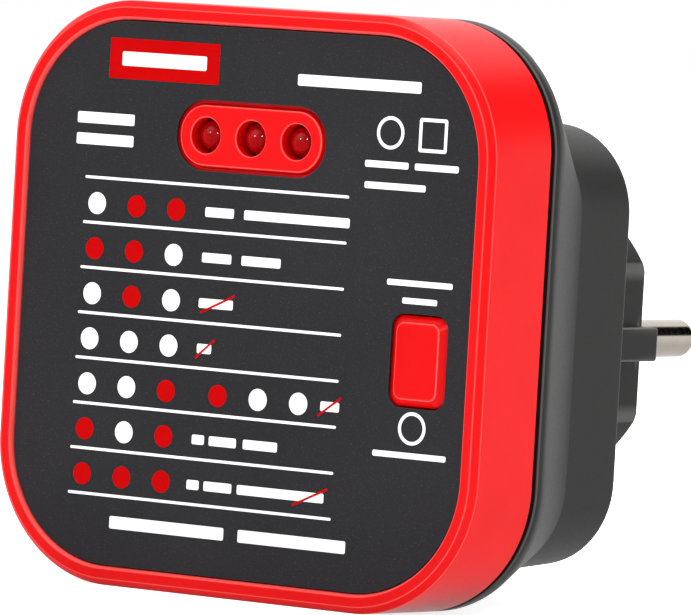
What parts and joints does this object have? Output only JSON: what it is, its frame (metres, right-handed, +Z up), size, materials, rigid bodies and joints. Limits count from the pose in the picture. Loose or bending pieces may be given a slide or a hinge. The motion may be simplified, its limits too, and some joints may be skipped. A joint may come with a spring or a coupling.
{
  "type": "outlet tester plug",
  "caption": "Plug-in outlet tester: square front with indicator lamps and a sprung test button, on a tapered housing with an earthed two-pin plug.",
  "frame": {"origin": "centre of the plug body's end face, midway between the two pins", "axes": "+Y along the pins, into the socket; +Z up as the tester stands in the wall; +X to the right as the user faces it"},
  "size_m": [0.0702, 0.0824, 0.0702],
  "materials": {
    "red_shell": "satin moulded",
    "dark_housing": "fine textured",
    "label_film": "satin printed film",
    "red_button": "satin moulded",
    "led_lens": "clear red",
    "nickel_pin": "nickel plated",
    "contact_brass": "bare",
    "screw_steel": "zinc plated",
    "board": "solder mask",
    "black_plastic": "moulded",
    "carrier_plastic": "moulded",
    "spring_steel": "bare",
    "load_resistor": "painted",
    "resistor": "lacquered",
    "capacitor": "sleeved",
    "wire_brown": "smooth",
    "wire_blue": "smooth",
    "wire_green_yellow": "striped"
  },
  "bodies": {
    "tester": {"front_shell": "red_shell", "front_label": "label_film", "test_switch_body": "black_plastic", "test_switch_dome": "spring_steel", "indicator_led_left": "led_lens", "indicator_led_centre": "led_lens", "indicator_led_right": "led_lens", "main_board": "board", "board_screw_1": "screw_steel", "board_screw_2": "screw_steel", "leakage_resistor_1": "load_resistor", "leakage_resistor_2": "load_resistor", "leakage_resistor_3": "load_resistor", "series_resistor_1": "resistor", "series_resistor_2": "resistor", "series_resistor_3": "resistor", "rectifier_diode_1": "black_plastic", "rectifier_diode_2": "black_plastic", "rectifier_diode_3": "black_plastic", "filter_capacitor": "capacitor", "rear_housing": "dark_housing", "case_screw_1": "screw_steel", "case_screw_2": "screw_steel", "case_screw_3": "screw_steel", "case_screw_4": "screw_steel", "plug_body": "dark_housing", "pin_carrier": "carrier_plastic", "live_pin": "nickel_pin", "neutral_pin": "nickel_pin", "earth_clip_top": "contact_brass", "earth_clip_bottom": "contact_brass", "earth_pin_sleeve": "contact_brass", "plug_screw_top": "screw_steel", "plug_screw_bottom": "screw_steel", "live_wire": "wire_brown", "neutral_wire": "wire_blue", "earth_wire": "wire_green_yellow"},
    "button": {"test_button": "red_button"},
    "plunger": {"test_switch_plunger": "carrier_plastic"}
  },
  "joints": [
    {"name": "button_press", "type": "slide", "parent": "tester", "child": "button", "axis": [0, 1, 0], "range_m": [0, 0.001], "stiffness_N_per_m": 1500, "springref_m": -0.0008},
    {"name": "plunger_press", "type": "slide", "parent": "tester", "child": "plunger", "axis": [0, 1, 0], "range_m": [0, 0.001], "deforming": ["test_switch_dome"]}
  ],
  "couplings": [
    {"joint": "plunger_press", "follows": "button_press", "ratio": 1}
  ]
}
